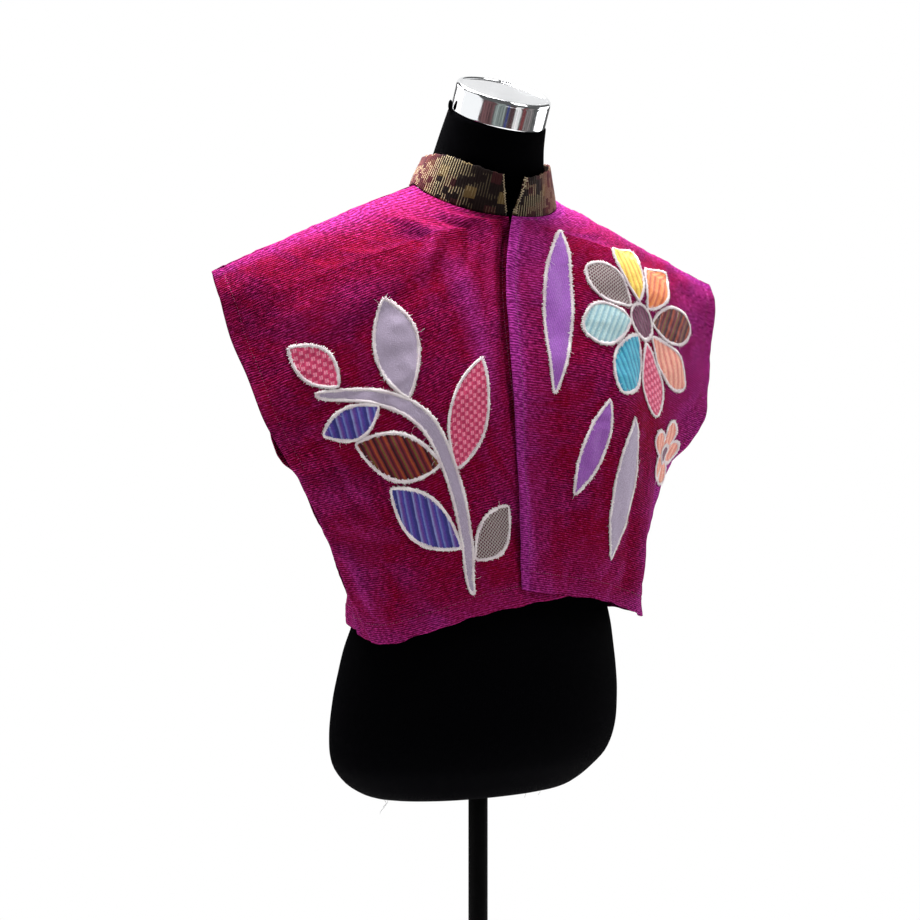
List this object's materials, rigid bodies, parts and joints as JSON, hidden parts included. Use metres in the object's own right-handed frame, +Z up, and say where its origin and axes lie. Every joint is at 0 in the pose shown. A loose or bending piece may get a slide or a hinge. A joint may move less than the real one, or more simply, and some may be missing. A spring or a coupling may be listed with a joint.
{
  "type": "kimono shrug on a limbless dress form",
  "caption": "Short open-front kimono shrug with cap sleeves, a stand collar and cloth applique, worn by a limbless dress form on a pole and round base.",
  "frame": {"origin": "centre of the base plate's underside, on the floor", "axes": "+Z up, along the pole; -Y is the front of the garment; +X is the wearer's left"},
  "size_m": [0.622, 0.31, 1.2645],
  "materials": {
    "cotton": "handwoven shot cotton, matt with a violet sheen",
    "collar_cloth": "woven check, matt",
    "jersey": "matt stretch jersey",
    "chrome": "polished",
    "satin_black": "satin",
    "lavender": "matt",
    "pink_check": "matt",
    "red_stripe": "matt",
    "indigo_stripe": "matt",
    "black_stripe": "matt",
    "violet": "matt",
    "turquoise": "matt",
    "aqua": "matt",
    "peach": "matt",
    "yellow": "matt",
    "orange": "matt",
    "plum": "matt"
  },
  "bodies": {
    "root": {"form_body": "jersey", "neck_cap": "chrome", "pole": "satin_black", "base": "satin_black", "front_right": "cotton", "front_left": "cotton", "back": "cotton", "collar": "collar_cloth", "stem_right": "lavender", "leaf_right_1": "black_stripe", "leaf_right_2": "indigo_stripe", "leaf_right_3": "pink_check", "leaf_right_4": "red_stripe", "leaf_right_5": "lavender", "leaf_right_6": "indigo_stripe", "leaf_right_7": "pink_check", "leaf_left_1": "violet", "leaf_left_2": "lavender", "leaf_left_3": "violet", "flower_petal_1": "yellow", "flower_petal_2": "orange", "flower_petal_3": "red_stripe", "flower_petal_4": "peach", "flower_petal_5": "pink_check", "flower_petal_6": "turquoise", "flower_petal_7": "aqua", "flower_petal_8": "black_stripe", "flower_centre": "plum", "small_flower": "peach", "small_flower_centre": "plum"}
  },
  "joints": []
}
